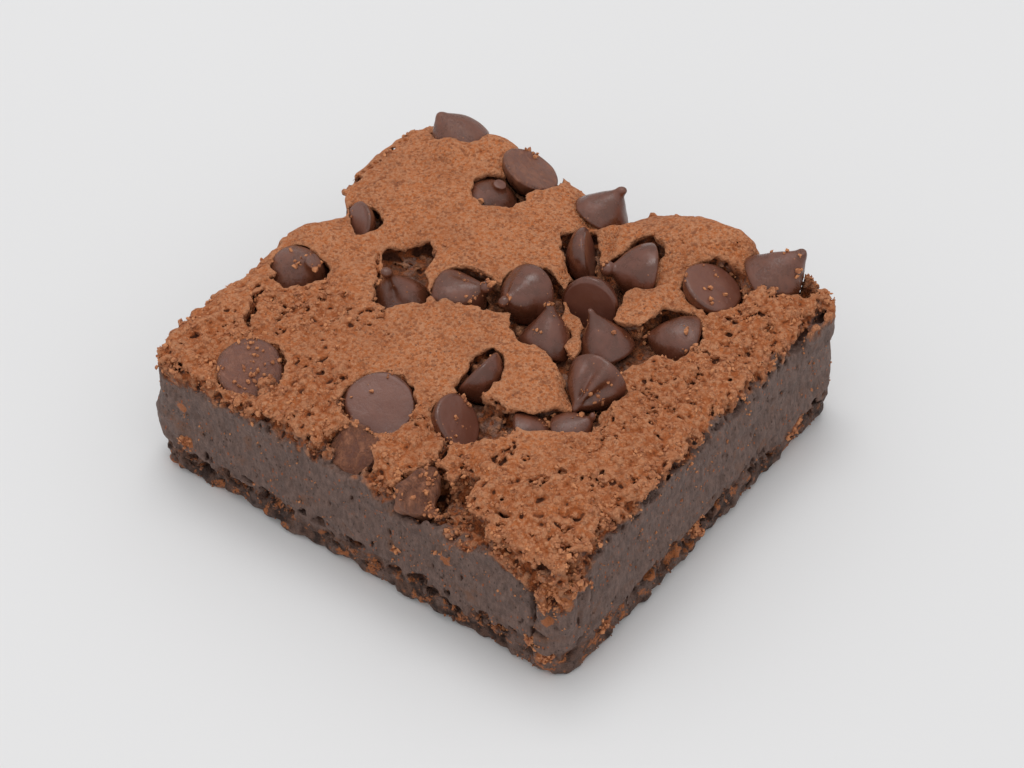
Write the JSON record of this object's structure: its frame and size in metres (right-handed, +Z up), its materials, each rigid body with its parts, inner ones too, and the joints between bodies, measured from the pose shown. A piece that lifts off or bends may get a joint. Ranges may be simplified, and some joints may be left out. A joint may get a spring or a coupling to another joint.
{
  "type": "chocolate chip brownie",
  "caption": "Square brownie cut from a tray, with four cut sides over a rough base band and a domed, cracked crust set with chocolate chips.",
  "frame": {"origin": "middle of the underside of the whole object's box", "axes": "+Z up; +X along the front cut side, from its left end to the near corner; +Y from the front side to the back"},
  "size_m": [0.0816, 0.073, 0.0296],
  "materials": {
    "crumb": "matte, sandy crust and dense cut crumb",
    "chip_chocolate": "satin dark chocolate"
  },
  "bodies": {
    "root": {"brownie_body": "crumb", "chip_far_left_corner": "chip_chocolate", "chip_back_tilted_disc": "chip_chocolate", "chip_back_in_hole": "chip_chocolate", "chip_back_standing": "chip_chocolate", "chip_split_edge_on": "chip_chocolate", "chip_split_curled": "chip_chocolate", "chip_split_leaning_disc": "chip_chocolate", "chip_split_big": "chip_chocolate", "chip_split_half_buried": "chip_chocolate", "chip_middle_standing": "chip_chocolate", "chip_right_standing": "chip_chocolate", "chip_split_folded": "chip_chocolate", "chip_right_lying": "chip_chocolate", "chip_right_tilted_disc": "chip_chocolate", "chip_back_right_lying": "chip_chocolate", "chip_left_edge_on": "chip_chocolate", "chip_left_in_hole": "chip_chocolate", "chip_left_hollow": "chip_chocolate", "chip_front_left_disc": "chip_chocolate", "chip_front_flat_disc": "chip_chocolate", "chip_front_cut": "chip_chocolate", "chip_middle_on_edge": "chip_chocolate", "chip_middle_tilted_disc": "chip_chocolate", "chip_low_oval": "chip_chocolate", "chip_low_knobbed": "chip_chocolate", "chip_front_broken": "chip_chocolate"}
  },
  "joints": []
}
